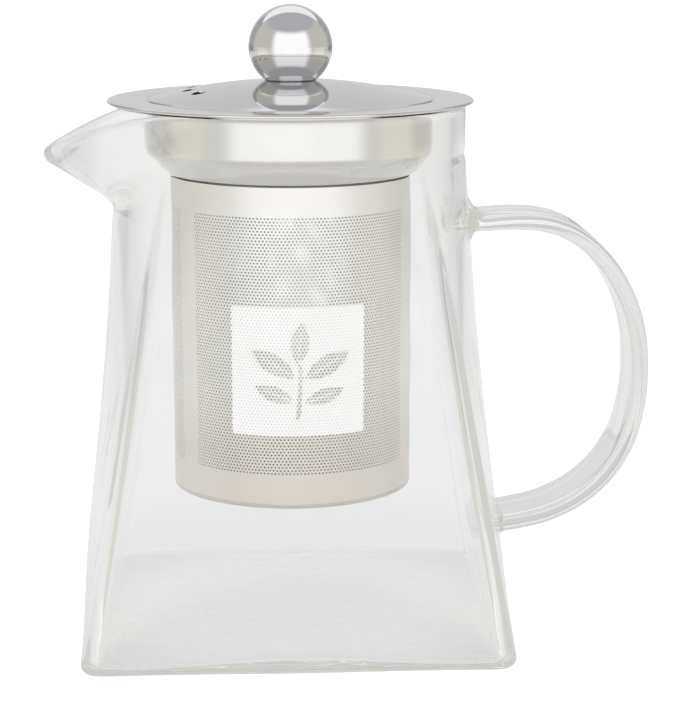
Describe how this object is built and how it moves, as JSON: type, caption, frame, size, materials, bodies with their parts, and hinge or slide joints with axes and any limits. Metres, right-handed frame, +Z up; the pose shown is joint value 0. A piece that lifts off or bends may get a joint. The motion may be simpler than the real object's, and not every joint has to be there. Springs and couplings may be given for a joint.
{
  "type": "teapot with infuser",
  "caption": "Clear glass teapot with a square foot, round mouth, drawn pouring lip and strap loop handle, a lift-out perforated steel infuser and a domed steel lid with a ball knob.",
  "frame": {"origin": "centre of the flat underside of the glass base, on the axis of the mouth", "axes": "+Z up along the axis of the mouth, the pouring lip points to -X and the handle to +X"},
  "size_m": [0.1503, 0.105, 0.1549],
  "materials": {
    "clear_glass": "clear blown borosilicate glass, fire-polished rim",
    "handle_glass": "clear drawn borosilicate glass strap",
    "satin_steel": "drawn stainless sheet, satin",
    "perforated_steel": "fine perforated stainless sheet, satin",
    "pressed_steel": "pressed stainless sheet, satin",
    "polished_steel": "polished stainless sheet",
    "mirror_steel": "mirror-polished stainless ball",
    "screw_steel": "plain stainless hardware"
  },
  "bodies": {
    "pot": {"glass_body": "clear_glass", "glass_handle": "handle_glass"},
    "infuser": {"infuser_collar": "satin_steel", "infuser_sleeve": "perforated_steel", "infuser_bottom": "pressed_steel"},
    "lid": {"lid_dome": "polished_steel", "lid_skirt": "satin_steel", "knob_ball": "mirror_steel", "knob_insert": "screw_steel", "knob_screw": "screw_steel", "knob_washer": "screw_steel"}
  },
  "joints": [
    {"name": "infuser_lift", "type": "slide", "parent": "pot", "child": "infuser", "axis": [0, 0, 1], "range_m": [0, 0.11]},
    {"name": "lid_lift", "type": "slide", "parent": "infuser", "child": "lid", "axis": [0, 0, 1], "range_m": [0, 0.03]}
  ]
}
